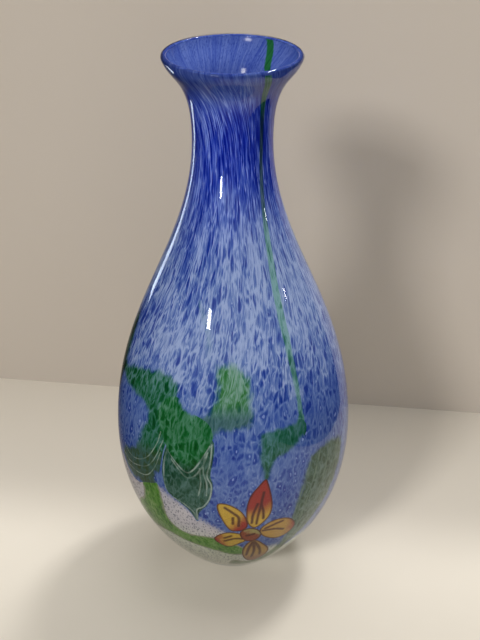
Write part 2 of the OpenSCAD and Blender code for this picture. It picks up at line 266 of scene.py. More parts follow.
class Tree:
    """Builds one node tree with short calls; an input is a number, a colour or another node's output."""

    def __init__(self, name):
        self.material = bpy.data.materials.new(name)
        self.material.use_nodes = True
        self.tree = self.material.node_tree
        self.tree.nodes.clear()

    def add(self, kind, out=0, settings=None, **inputs):
        node = self.tree.nodes.new(kind)
        for key, value in (settings or {}).items():
            setattr(node, key, value)
        for key, value in inputs.items():
            by_number = key[0] == "i" and key[1:].isdigit()
            socket = node.inputs[int(key[1:]) if by_number else key.replace("_", " ")]
            if isinstance(value, bpy.types.NodeSocket):
                self.tree.links.new(value, socket)
            else:
                socket.default_value = value
        return node.outputs[out]

    def attribute(self, name, out="Vector"):
        return self.add("ShaderNodeAttribute", out, {"attribute_name": name})

    def split(self, colour):
        node = self.tree.nodes.new("ShaderNodeSeparateColor")
        self.tree.links.new(colour, node.inputs[0])
        return node.outputs[0], node.outputs[1], node.outputs[2]

    def math(self, operation, a, b=0.0, clamp=False):
        return self.add("ShaderNodeMath", 0, {"operation": operation, "use_clamp": clamp}, i0=a, i1=b)

    def times(self, a, b):
        return self.math("MULTIPLY", a, b)

    def sum(self, a, b):
        return self.math("ADD", a, b)

    def less(self, a, b):
        return self.math("SUBTRACT", a, b)

    def part(self, vector, axis):
        return self.add("ShaderNodeSeparateXYZ", axis, None, Vector=vector)

    def height(self):
        return self.part(self.add("ShaderNodeTexCoord", "Object"), "Z")

    def scaled(self, vector, by):
        return self.add("ShaderNodeVectorMath", 0, {"operation": "MULTIPLY"}, i0=vector, i1=by)

    def plus(self, a, b):
        return self.add("ShaderNodeVectorMath", 0, {"operation": "ADD"}, i0=a, i1=b)

    def noise(self, vector, scale, detail=2.0, roughness=0.5, out=0):
        return self.add(
            "ShaderNodeTexNoise", out, None, Vector=vector, Scale=scale, Detail=detail, Roughness=roughness)

    def cells(self, vector, scale, feature="F1", out="Distance"):
        return self.add("ShaderNodeTexVoronoi", out, {"feature": feature}, Vector=vector, Scale=scale)

    def step(self, value, low, high, to_low=0.0, to_high=1.0):
        return self.add(
            "ShaderNodeMapRange", 0, {"interpolation_type": "SMOOTHSTEP"},
            i0=value, i1=low, i2=high, i3=to_low, i4=to_high,
        )

    def mix(self, amount, a, b, blend="MIX"):
        return self.add("ShaderNodeMix", 2, {"data_type": "RGBA", "blend_type": blend}, i0=amount, i6=a, i7=b)

    def ramp(self, value, stops):
        node = self.tree.nodes.new("ShaderNodeValToRGB")
        elements = node.color_ramp.elements
        while len(elements) < len(stops):
            elements.new(0.5)
        for element, (at, _) in zip(elements, stops):
            element.position = at
        for element, (_, colour) in zip(elements, stops):
            element.color = colour
        self.tree.links.new(value, node.inputs[0])
        return node.outputs[0]

    def surface(self, shader):
        node = self.tree.nodes.new("ShaderNodeOutputMaterial")
        self.tree.links.new(shader, node.inputs["Surface"])
        return self.material


# Colours as they look on a screen
NAVY = linear(28, 52, 138)
ROYAL = linear(60, 88, 160)
MID_BLUE = linear(102, 126, 180)
LILAC = linear(156, 172, 206)
GREY_LILAC = linear(140, 154, 182)
# painted glint for the seed bubbles
SEED_GLINT = linear(160, 182, 226)
# painted shade for the top of the lip
LIP_SHADE_BLUE = linear(40, 54, 108)
NECK_NAVY = linear(8, 28, 140)
NECK_BLUE = linear(32, 56, 172)
NECK_MID = linear(72, 100, 198)
NECK_LIGHT = linear(150, 172, 232)


def frit_nodes(t):
    """The frit layer's colour and its lightness: 0 in a dark grain, 1 in the pale glass between grains."""
    flow = t.attribute("flow")
    zone = t.attribute("zone", "Color")
    deep, pale, drawn = t.split(zone)
    lively = t.attribute("zone", "Alpha")
    pulled = t.step(t.part(flow, "Z"), 82, 112)
    wander = t.noise(flow, 0.17, 2.0, 0.5, out="Color")
    wander = t.add("ShaderNodeVectorMath", 0, {"operation": "SUBTRACT"}, i0=wander, i1=(0.5, 0.5, 0.5))
    bent = t.plus(flow, t.scaled(wander, (6.0, 6.0, 5.0)))
    # grains: almond cells, dark in the middle
    apart = t.cells(bent, 0.27, feature="DISTANCE_TO_EDGE")
    middle = t.cells(bent, 0.27)
    tone = t.split(t.cells(bent, 0.27, out="Color"))[0]
    core = t.times(t.step(apart, 0.0, 0.26), t.step(tone, 0.1, 1.0, 0.56, 0.14))
    # the net of pale threads between and over the grains, and looser threads that cross it
    net = t.cells(t.scaled(bent, (1.0, 1.0, 0.45)), 0.44, feature="DISTANCE_TO_EDGE")
    net = t.step(net, 0.0, 0.26, 1.0, 0.0)
    loose = t.noise(t.scaled(bent, (1.0, 1.0, 0.2)), 0.5, 1.5, 0.5)
    loose = t.step(t.math("ABSOLUTE", t.less(loose, 0.5)), 0.0, 0.07, 1.0, 0.0)
    patchy = t.step(t.noise(flow, 0.13, 2.0, 0.5), 0.3, 0.6)
    cloud = t.less(t.noise(flow, 0.075, 3.0, 0.6), 0.5)
    fibre = t.less(t.noise(t.scaled(bent, (1.0, 1.0, 0.3)), 1.0, 3.0, 0.65), 0.5)
    light = t.less(0.6, core)
    light = t.sum(light, t.times(net, t.times(patchy, t.step(pulled, 0.0, 1.0, 0.18, 0.4))))
    light = t.sum(light, t.times(loose, t.sum(t.times(pulled, 0.24), 0.1)))
    light = t.sum(light, t.times(cloud, 0.9))
    light = t.sum(light, t.times(fibre, 0.8))
    light = t.less(light, t.times(deep, 0.3))
    light = t.sum(light, t.times(pale, 0.1))
    contrast = t.times(lively, t.step(pulled, 0.0, 1.0, 0.78, 1.25))
    light = t.sum(0.44, t.times(t.less(light, 0.5), contrast))
    body = t.ramp(light, [(0.0, NAVY), (0.3, ROYAL), (0.62, MID_BLUE), (1.0, LILAC)])
    neck = t.ramp(light, [(0.0, NECK_NAVY), (0.3, NECK_BLUE), (0.62, NECK_MID), (1.0, NECK_LIGHT)])
    colour = t.mix(drawn, body, neck)
    colour = t.mix(t.times(pale, 0.28), colour, GREY_LILAC)
    # seed bubbles, which are real, drawn with a painted glint: a bright point in the middle of many of the
    # grains round the belly
    seed_glint = t.times(t.step(middle, 0.2, 0.1), t.step(tone, 0.7, 0.64))
    seed_glint = t.times(seed_glint, t.step(pulled, 0.1, 0.6, 0.7, 0.0))
    # painted shade: the top of the lip faces the lamps above, so its colour is darkened towards the rim
    colour = t.mix(t.step(t.height(), 0.296, 0.319, 0.0, 0.62), colour, LIP_SHADE_BLUE)
    return t.mix(seed_glint, colour, SEED_GLINT), light


def frit_shader(t, colour, bump_from, roughness=0.5):
    bump = t.add("ShaderNodeBump", 0, None, Strength=0.25, Distance=0.0004, Height=bump_from)
    rough = t.step(bump_from, 0.0, 1.0, roughness - 0.1, roughness + 0.1)
    return t.add(
        "ShaderNodeBsdfPrincipled", 0, None,
        Base_Color=colour, Roughness=rough, Normal=bump, Specular_IOR_Level=0.0,
    )


def blue_frit():
    t = Tree("blue_frit")
    colour, grain = frit_nodes(t)
    # under the skirt the floor of the layer is white too
    colour = t.mix(t.step(t.height(), 0.0085, 0.0055), colour, linear(198, 202, 186))
    return t.surface(frit_shader(t, colour, grain))


def lining():
    """The cavity side: the blue seen through the inner gather, finely specked, with the stems on it."""
    t = Tree("inner_glass")
    flow = t.attribute("flow")
    cloud = t.noise(flow, 0.05, 2.0, 0.5)
    fibre = t.noise(t.scaled(flow, (1.0, 1.0, 0.5)), 0.55, 3.0, 0.6)
    light = t.sum(t.times(cloud, 0.5), t.times(fibre, 0.7))
    blues = [(0.4, linear(52, 74, 160)), (0.6, linear(80, 102, 176)), (0.82, linear(112, 132, 196))]
    colour = t.ramp(light, blues)
    specks = t.noise(t.scaled(flow, (1.0, 1.0, 2.2)), 1.3, 2.0, 0.6)
    colour = t.mix(t.step(specks, 0.53, 0.66, 0.0, 0.75), colour, NAVY)
    stem = t.attribute("stem", "Fac")
    ragged = t.sum(stem, t.times(t.less(fibre, 0.5), 1.6))
    green = t.ramp(fibre, [(0.3, linear(14, 74, 40)), (0.7, linear(44, 116, 66))])
    colour = t.mix(t.step(ragged, 2.9, 1.9), colour, green)
    bump = t.add("ShaderNodeBump", 0, None, Strength=0.15, Distance=0.0006, Height=cloud)
    shader = t.add(
        "ShaderNodeBsdfPrincipled", 0, None,
        Base_Color=colour, Roughness=t.step(cloud, 0.3, 0.7, 0.1, 0.16), Normal=bump, Specular_IOR_Level=0.12,
    )
    return t.surface(shader)


def clear_glass():
    t = Tree("clear_glass")
    place = t.add("ShaderNodeTexCoord", "Object")
    swell = t.noise(t.scaled(place, (1.0, 1.0, 0.45)), 26.0, 1.0, 0.4)
    fine = t.noise(t.scaled(place, (1.0, 1.0, 0.3)), 140.0, 2.0, 0.5)
    height = t.sum(swell, t.times(fine, 0.04))
    bump = t.add("ShaderNodeBump", 0, None, Strength=0.35, Distance=0.0012, Height=height)
    ground = t.step(t.part(place, "Z"), 0.0006, 0.0002, 0.0, 0.35)
    tint = t.mix(t.noise(place, 12.0), (0.985, 0.992, 0.99, 1), (1, 1, 1, 1))
    glass = t.add(
        "ShaderNodeBsdfPrincipled", 0, None,
        Base_Color=tint, Roughness=ground, IOR=1.5, Transmission_Weight=1.0, Normal=bump,
    )
    clear = t.add("ShaderNodeBsdfTransparent", 0, None, Color=(0.96, 0.97, 0.98, 1))
    shadow = t.add("ShaderNodeLightPath", "Is Shadow Ray")
    return t.surface(t.add("ShaderNodeMixShader", 0, None, i0=shadow, i1=glass, i2=clear))


# ---------------------------------------------------------------- the three layers
SUNK = 0.3  # how far the clear glass reaches into the layer under it, so no air gap shows
TURNS = 320

outer_u = np.linspace(0, 3, 241)
outer, outward = wall(outer_u)
lip_centre = outer[-1] - LIP_R * outward[-1]
lip_angle = np.radians(np.linspace(0, 180, 17)[1:-1])
half_round = np.cos(lip_angle)[:, None] * outward[-1] + np.sin(lip_angle)[:, None] * LIP_RUN
lip = lip_centre + LIP_R * half_round
inner_end = offset_curve(gather_depth, np.array([3.0]))
behind_u = np.linspace(0, 2.99, 200)
behind = with_floor(offset_curve(lambda u: casing_depth(u) + SUNK, behind_u))
tucked = offset_curve(lambda u: gather_depth(u) - SUNK, np.array([2.99]))
foot = np.array([[0, 0], [FOOT_R * 0.5, 0]])
casing_profile = np.vstack([foot, outer, lip, inner_end, tucked, behind[::-1]])
verts, faces, _ = revolve(casing_profile, TURNS)
new_piece("casing_glass", "clear_casing", verts, faces, clear_glass())


def shell_profile(outer_depth, inner_depth, samples, top=3.0, cap=()):
    reflected_dark, within = np.linspace(0, 3, samples), np.linspace(0, top, samples)
    rows = [with_floor(offset_curve(outer_depth, reflected_dark))]
    rows += [cap] if len(cap) else []
    return np.vstack(rows + [with_floor(offset_curve(inner_depth, within))[::-1]])


# The coloured core ends in a round inside the clear lip
CORE_R = (FRIT_T + GATHER_LIP) / 2
core_centre = outer[-1] - (CASING_LIP + CORE_R) * outward[-1]
core_cap = core_centre + CORE_R * half_round
core_cap = np.vstack([core_cap, inner_end + [[0.02, 0]]])


def layer_piece(name, node, profile, material):
    made, sides, turn = revolve(profile, TURNS)
    piece = new_piece(name, node, made, sides, material)
    store(piece, "flow", flow_of(turn, made[:, 2]))
    store(piece, "zone", zone_of(turn, made[:, 2]))
    return piece


layer_piece(
    "frit_glass", "blue_frit_layer",
    shell_profile(casing_depth, frit_depth, 241, 2.985, core_cap), blue_frit(),
)
lining_piece = layer_piece(
    "lining_glass", "inner_gather",
    shell_profile(lambda u: frit_depth(u) - 0.2, gather_depth, 161), lining(),
)

# ---------------------------------------------------------------- pieces let into the frit layer
EDGES = {
    "flower_heart": [(3.4, 50), (8.6, 53.4), (14.4, 51), (17, 45.6), (14.2, 40.2), (8, 40), (4.2, 44.4)],
    "petal_top": [(10.4, 52.5), (7, 58), (6.6, 70), (8.6, 79), (12, 84), (16.4, 90.5), (18, 84), (19.6, 76),
        (20.6, 68), (19.6, 61), (16, 55.5), (13, 52.5)],
    "petal_upper_left": [(-8, 73.5), (-8.2, 68), (-5.4, 59), (-2, 51), (2, 50), (6.6, 51.5), (8.4, 55),
        (7, 62), (4, 68), (-2, 73)],
    "petal_lower_left": [(-12.5, 42), (-8, 47.5), (-2, 50), (4, 48.4), (8.4, 45), (8, 40.5), (3.6, 38),
        (-1, 34.6), (-6, 35.6)],
    "petal_bottom": [(9.4, 39.6), (6.2, 33), (6.4, 25), (10, 18), (16, 14.4), (23, 15.4), (28, 22), (26, 29),
        (21, 34), (16, 39.6), (13, 41)],
    "petal_right": [(14.6, 51), (19, 55.6), (25, 57.4), (32, 55.4), (37, 50), (38.6, 44), (34, 39), (27, 38),
        (20, 41.4), (15.4, 46)],
    "side_leaf": [(-84, 174), (-78, 160), (-76.5, 142), (-78, 124), (-86, 110), (-99, 104), (-103, 122),
        (-98, 145), (-92, 163)],
    "centre_stem": [(-28, 193), (-19, 187), (-12, 173), (-10, 158), (-15, 158), (-18, 170), (-25, 182)],
    "left_leaf": [(-78, 136), (-67, 143), (-50, 147), (-39, 150), (-30, 146), (-27, 138), (-33, 127),
        (-33, 112), (-36, 101), (-38, 88), (-40, 77), (-48, 74), (-58, 68), (-68, 72), (-74, 82), (-68, 90),
        (-58, 94), (-53, 103), (-52, 112), (-47, 120), (-52, 126), (-64, 125), (-78, 129)],
    "heart_leaf": [(-42, 124), (-37, 112), (-33, 103), (-28.4, 97), (-23.2, 92.6), (-19.4, 95),
        (-15.6, 102), (-11, 111.6), (-9, 118), (-12, 125), (-18, 128), (-24, 131), (-28, 137), (-36, 135)],
    "pointed_leaf": [(-34, 107), (-36.4, 95), (-36.8, 81), (-34.2, 72.4), (-26, 67.6), (-21.4, 62),
        (-19.8, 56), (-18, 57), (-17.4, 64.6), (-13.6, 68.4), (-10, 76), (-9, 85.6), (-10.6, 92),
        (-9.2, 101), (-8, 112), (-12, 118), (-22, 112), (-30, 108)],
    "centre_leaf": [(-9.8, 158.4), (-3, 160.4), (3.4, 158.6), (8.2, 155), (11.6, 148.6), (12.8, 142),
        (10.4, 136.4), (13, 129.6), (11.6, 122.6), (5.9, 118.8), (-1.9, 119.4), (-7.6, 117.4),
        (-11, 113.6), (-17, 116), (-20.6, 123.4), (-14.4, 131), (-10.8, 138.4), (-9.4, 146.4),
        (-11.4, 153)],
    "right_upper_leaf": [(13.6, 87), (12.4, 99), (11.6, 113), (14, 120.4), (25, 120.6), (36, 123),
        (40, 116), (36, 107), (28, 102.4), (22, 100), (20.6, 93), (18, 85)],
    "right_lower_leaf": [(40, 98), (35.4, 81), (32, 62), (31.4, 50), (32.6, 38), (31, 29), (36, 25),
        (44, 26.4), (54, 42.4), (62, 56), (67, 70), (71, 86), (68, 97), (58, 101), (48, 101)],
    "green_trail": [(-51, 79), (-40, 79), (-38.4, 66), (-39, 52), (-34, 45), (-26, 42.6), (-11, 44.4),
        (-1, 40), (5, 35), (9, 31), (9, 24), (-2, 25.4), (-16, 31), (-31, 33.6), (-42, 37), (-54, 36),
        (-70, 32), (-72, 44), (-62, 54), (-54, 60), (-52.6, 68)],
    "base_leaf": [(-6, 9.5), (-4, 15), (2, 19), (9, 15), (20, 15), (28, 22), (33, 31), (42, 29), (38, 17),
        (28, 9.5)],
    "back_left_leaf": [(104, 114), (116, 122), (134, 126), (150, 116), (162, 96), (168, 76), (156, 78),
        (142, 82), (128, 88), (114, 98)],
    "back_right_leaf": [(166, 134), (180, 138), (198, 130), (210, 112), (214, 92), (210, 78), (198, 84),
        (184, 94), (172, 110)],
}
CANES = {
    "front_stem": [(36.5, 112, 4), (36, 135, 4.2), (35, 160, 5), (34.6, 185, 5.2), (36.6, 208, 4.8),
        (40, 232, 3.4), (43.6, 256, 2.8), (46.6, 274, 2.8), (44, 290, 3.2), (36, 306, 4.4), (28, 321, 5.4)],
    "side_stem": [(104, 112, 4), (101, 140, 3.6), (98, 170, 3.4), (96, 200, 3.2), (96, 230, 2.8),
        (97, 256, 2.4), (98, 276, 2.4), (104, 294, 3), (120, 308, 4), (146, 321, 5.5)],
}
WHITE_CREST = [(-84, 30), (-87, 58), (-79, 79), (-66, 86), (-54, 84), (-44, 80), (-36, 76), (-27, 71),
    (-20, 63), (-12, 57.6), (-6, 53), (-1, 46), (3, 34)]
SKIRT_Z = 34.0
ROOTED = 0.35  # how far an inlay or the skirt goes down into the frit layer


def soft(outline, steps=10):
    """Each corner becomes a curve that touches the middles of the two edges beside it."""
    p = np.asarray(outline, float)
    before, after = (np.roll(p, 1, 0) + p) / 2, (np.roll(p, -1, 0) + p) / 2
    t = (np.arange(steps) / steps)[None, :, None]
    curve = (1 - t) ** 2 * before[:, None] + 2 * (1 - t) * t * p[:, None] + t * t * after[:, None]
    return curve.reshape(-1, 2)


def cane_edge(line):
    """The outline of a cane given as (turn, height, width)."""
    half = [math.degrees(w / 2 / frit_radius(z)) for _, z, w in line]
    right_side = [(a + h, z) for (a, z, _), h in zip(line, half)]
    left_side = [(a - h, z) for (a, z, _), h in zip(line, half)]
    return right_side + left_side[::-1]


def even(loop, gap):
    """The closed loop again, with points an even gap apart."""
    closed = np.vstack([loop, loop[:1]])
    run = np.concatenate([[0], np.cumsum(np.linalg.norm(np.diff(closed, axis=0), axis=1))])
    at = np.linspace(0, run[-1], max(int(run[-1] / gap), 12), endpoint=False)
    return np.stack([np.interp(at, run, closed[:, i]) for i in (0, 1)], 1)


def distance_to(points, line):
    """Least distance from each point to a run of straight pieces."""
    best = np.full(len(points), 1e9)
    for a, b in zip(line[:-1], line[1:]):
        way = b - a
        t = np.clip((points - a) @ way / max(way @ way, 1e-12), 0, 1)
        best = np.minimum(best, np.linalg.norm(points - a - t[:, None] * way, axis=1))
    return best


def through(points, steps=6):
    """A smooth open curve through every point."""
    p = np.asarray(points, float)
    p = np.vstack([2 * p[0] - p[1], p, 2 * p[-1] - p[-2]])
    t = (np.arange(steps) / steps)[None, :, None]
    a, b, c, d = (p[i : len(p) - 3 + i, None] for i in range(4))
    run = 0.5 * (2 * b + (c - a) * t + (2 * a - 5 * b + 4 * c - d) * t**2 + (3 * b - a - 3 * c + d) * t**3)
    return np.vstack([run.reshape(-1, 2), p[-2:-1]])


def inside(points, loop):
    """Which points are inside a closed loop: a line to the left crosses it an odd number of times."""
    a, b = loop, np.roll(loop, -1, 0)
    hits = np.zeros(len(points), int)
    for (ax, ay), (bx, by) in zip(a, b):
        crosses = (ay > points[:, 1]) != (by > points[:, 1])
        x_at = ax + (points[:, 1] - ay) / (by - ay if by != ay else 1e-12) * (bx - ax)
        hits += crosses & (points[:, 0] < x_at)
    return hits % 2 == 1


def open_edge_distance(points, loop, neighbours, reach=2.5):
    """Distance to the parts of an outline that no neighbour meets; far inside where a neighbour does."""
    met = np.zeros(len(loop), bool)
    for other in neighbours:
        met |= inside(loop, other) | (distance_to(loop, np.vstack([other, other[:1]])) < reach)
    following = np.roll(loop, -1, 0)
    best = np.full(len(points), 20.0)
    for a, b, skip in zip(loop, following, met):
        if not skip:
            best = np.minimum(best, distance_to(points, np.array([a, b])))
    return best


class Patch:
    """A flat chart of the wall round one spot: x in mm round the wall, y up it."""

    def __init__(self, outline):
        outline = np.asarray(outline, float)
        self.middle = outline.mean(0)
        self.per_degree = math.radians(1) * float(np.mean(frit_radius(outline[:, 1])))

    def flat(self, spots):
        return (np.asarray(spots, float) - self.middle) * (self.per_degree, 1)

    def spots(self, points):
        return np.asarray(points) / (self.per_degree, 1) + self.middle


def twice(values):
    """Values for the top of a slab and again for its underside."""
    return np.concatenate([values, values])


def inlay(name, outline, material, proud, gap=1.2, marks=(), joined=()):
    """A thin closed slab that lies on the frit layer inside an outline of spots."""
    chart = Patch(outline)
    loop = even(chart.flat(soft(outline)), gap)
    low, high = loop.min(0), loop.max(0)
    xs, ys = np.meshgrid(np.arange(low[0], high[0], gap), np.arange(low[1], high[1], gap))
    xs[1::2] += gap / 2
    grid = np.stack([xs.ravel(), ys.ravel()], 1)
    grid = grid[inside(grid, loop)]
    grid = grid[distance_to(grid, np.vstack([loop, loop[:1]])) > 0.55 * gap]
    points = np.vstack([loop, grid])
    n = len(loop)
    rim = [(i, (i + 1) % n) for i in range(n)]
    made, _, tris = delaunay_2d_cdt([Vector(p) for p in points], rim, [list(range(n))], 1, 1e-6)[:3]
    if len(made) != len(points):
        raise SystemExit(f"{name}: the outline crosses itself")
    spots = chart.spots(points)
    spots[:, 1] = np.minimum(spots[:, 1], FRIT_FACE[-1, 1] - 0.3)
    top = on_frit(spots[:, 0], spots[:, 1], proud)
    under = on_frit(spots[:, 0], spots[:, 1], -ROOTED)
    total = len(points)
    verts = np.vstack([top, under])
    faces = [tuple(f) for f in tris] + [tuple(i + total for i in f[::-1]) for f in tris]
    faces += [(b, a, a + total, b + total) for a, b in rim]
    piece = new_piece(name + "_glass", name, verts, faces, material, sharp=50)
    beside = [chart.flat(soft(other)) for other in joined]
    store(piece, "flow", twice(flow_of(spots[:, 0], spots[:, 1])))
    store(piece, "zone", twice(zone_of(spots[:, 0], spots[:, 1])))
    store(piece, "edge", twice(open_edge_distance(points, loop, beside)))
    store(piece, "spot", twice(np.stack([points[:, 0], points[:, 1], spots[:, 1]], 1)))
    for mark, lines in marks:
        distance = np.min([distance_to(points, through(chart.flat(line))) for line in lines], axis=0)
        store(piece, mark, twice(distance))
    return piece


def leaf_material(
    name, dark, mid, light, fade=5.0, keep=0.86, under=None, line=None, line_width=0.5, bands=()
):
    """Green frit melted in, with the blue layer's grain. Its open edge runs out into what is under it."""
    t = Tree(name)
    blue, grain = frit_nodes(t)
    edge = t.attribute("edge", "Fac")
    flow = t.attribute("flow")
    ragged = t.less(t.noise(flow, 0.22, 4.0, 0.65), 0.5)
    amount = t.step(t.sum(edge, t.times(ragged, fade * 2.0)), 0.0, fade)
    amount = t.times(amount, t.step(t.sum(grain, ragged), 1.0, 0.2, keep, 1.0))
    spread = t.sum(t.times(grain, 0.95), t.times(ragged, 1.2))
    green = t.ramp(spread, [(0.0, dark), (0.36, mid), (0.85, light)])
    height = t.sum(t.part(t.attribute("spot"), "Z"), t.times(ragged, 8.0))
    for low, high, colour in bands:
        band = t.mix(t.step(spread, 0.0, 0.8, 0.0, 0.3), colour, light)
        green = t.mix(t.step(height, low, high), green, band)
    colour = t.mix(amount, under or blue, green)
    if line:
        near = t.sum(t.attribute("line", "Fac"), t.times(ragged, 0.35))
        broken = t.step(t.noise(flow, 0.16, 2.0, 0.5), 0.36, 0.6, 0.2, 0.9)
        colour = t.mix(t.times(t.step(near, line_width, line_width * 0.1), broken), colour, line)
    return t.surface(frit_shader(t, colour, grain))


DEEP_GREEN = linear(10, 62, 24)
LEAF_GREEN = linear(28, 100, 44)
PALE_LEAF = linear(78, 132, 104)
THREAD_WHITE = linear(168, 184, 172)
CREAM = linear(150, 150, 130)

WHITE_LINES = {
    "left_leaf": [
        [(-69, 90), (-62, 86), (-54, 87), (-46, 93), (-40, 104), (-37.6, 113)],
        [(-71, 83), (-63, 80.6), (-54, 82.6), (-46, 87), (-40.4, 96), (-36, 108)],
        [(-66, 77), (-56, 77), (-47, 80), (-41, 89), (-37.4, 100)],
    ],
    "pointed_leaf": [
        [(-33, 105), (-35.3, 94), (-35.6, 80.6), (-33.4, 72.9), (-25.6, 68.9), (-20.2, 63.1), (-19.4, 57.5)],
        [(-18.6, 58), (-18.5, 66), (-14.8, 69.4), (-11.3, 76.5), (-10.4, 85.3), (-12.4, 91.5), (-10.7, 101.3),
            (-10, 112)],
        [(-33, 103), (-28.2, 96.4), (-23.1, 91.8), (-19.4, 94.2), (-15.4, 101.4), (-11, 111)],
        [(-31, 98), (-26, 91.4), (-22.6, 88.4), (-18.6, 90.6), (-14.2, 98.6), (-12, 107)],
        [(-13.6, 104), (-14.2, 94), (-12.6, 86), (-13, 78)], [(-16, 96), (-15.6, 86), (-17, 77)],
    ],
    "right_lower_leaf": [
        [(42, 96), (38, 80), (35, 62), (34.6, 46), (34, 30)],
        [(48, 98), (44, 80), (41, 62), (40, 48), (38, 32)],
        [(56, 98), (52, 80), (49, 64), (46, 50), (42, 36)], [(63, 95), (60, 78), (56, 62), (51, 48)],
    ],
}
LEAVES = {
    "side_leaf": ("dark_green_glass", 0.05, dict(
        dark=linear(2, 26, 14), mid=linear(8, 50, 28), light=linear(36, 88, 62))),
    "centre_stem": ("sea_green_glass", 0.05, dict(
        dark=linear(62, 104, 116), mid=linear(88, 124, 138), light=linear(124, 152, 172), keep=0.6)),
    "left_leaf": ("leaf_green_glass", 0.07, dict(
        dark=linear(6, 62, 30), mid=linear(24, 94, 50), light=linear(80, 130, 118), fade=4.0,
        line=THREAD_WHITE, bands=[(104, 92, linear(56, 78, 50))])),
    "centre_leaf": ("leaf_green_glass", 0.06, dict(
        dark=linear(36, 100, 50), mid=linear(66, 126, 72), light=linear(118, 158, 128), fade=5.0, keep=0.8,
        bands=[(138, 126, linear(40, 82, 90))])),
    "right_upper_leaf": ("sea_green_glass", 0.06, dict(
        dark=linear(16, 76, 50), mid=linear(38, 96, 74), light=linear(84, 130, 128), fade=3.5)),
    "back_left_leaf": ("leaf_green_glass", 0.06, dict(dark=DEEP_GREEN, mid=LEAF_GREEN, light=PALE_LEAF)),
    "back_right_leaf": ("dark_green_glass", 0.05, dict(dark=DEEP_GREEN, mid=LEAF_GREEN, light=PALE_LEAF)),
    "heart_leaf": ("dark_green_glass", 0.10, dict(
        dark=linear(8, 68, 26), mid=linear(26, 100, 44), light=linear(84, 140, 98), fade=3.0,
        bands=[(102, 93, linear(6, 60, 24))])),
    "pointed_leaf": ("dark_green_glass", 0.08, dict(
        dark=linear(14, 58, 38), mid=linear(40, 84, 64), light=linear(92, 124, 106), fade=0.8,
        line=THREAD_WHITE, line_width=0.7)),
    "right_lower_leaf": ("dark_green_glass", 0.08, dict(
        dark=linear(20, 58, 34), mid=linear(54, 88, 60), light=linear(106, 130, 110), fade=4.0,
        line=linear(98, 124, 102), line_width=0.9)),
    "green_trail": ("bright_green_glass", 0.06, dict(
        dark=linear(36, 96, 8), mid=linear(74, 136, 24), light=linear(126, 164, 84), fade=2.0,
        under=CREAM)),
    "base_leaf": ("bright_green_glass", 0.05, dict(
        dark=linear(34, 76, 34), mid=linear(76, 108, 66), light=linear(128, 146, 112), fade=2.5,
        under=CREAM)),
    "front_stem": ("dark_green_glass", 0.04, dict(
        dark=linear(44, 100, 82), mid=linear(76, 128, 116), light=linear(118, 160, 154), fade=0.7,
        bands=[(222, 242, linear(8, 40, 70)), (286, 300, linear(18, 82, 58))])),
    "side_stem": ("leaf_green_glass", 0.04, dict(
        dark=linear(6, 60, 30), mid=linear(34, 104, 56), light=linear(90, 140, 104), fade=1.2)),
}

# the side stem also shows through the inner gather, round the inside of the mouth
inner_spots = np.array([v.co for v in lining_piece.data.vertices]) / MM
inner_turn = np.degrees(np.arctan2(inner_spots[:, 0], -inner_spots[:, 1]))
INNER_STEM = [(98, 276), (112, 292), (134, 306), (146, 321)]
stem_turn = np.interp(inner_spots[:, 2], [z for _, z in INNER_STEM], [a for a, _ in INNER_STEM])
away = np.radians((inner_turn - stem_turn + 180) % 360 - 180) * np.hypot(inner_spots[:, 0], inner_spots[:, 1])
store(lining_piece, "stem", np.abs(away))
OUTLINES = {name: EDGES[name] if name in EDGES else cane_edge(CANES[name]) for name in LEAVES}
for name, (slot, proud, look) in LEAVES.items():
    joined = [OUTLINES[other] for other in LEAVES if other != name]
    marks = [("line", WHITE_LINES[name])] if name in WHITE_LINES else []
    gap = 0.6 if marks else 0.8 if name in CANES else 1.2  # mm between points: marks and canes are fine
    inlay(name, OUTLINES[name], leaf_material(name, **look), proud, gap, marks, joined)


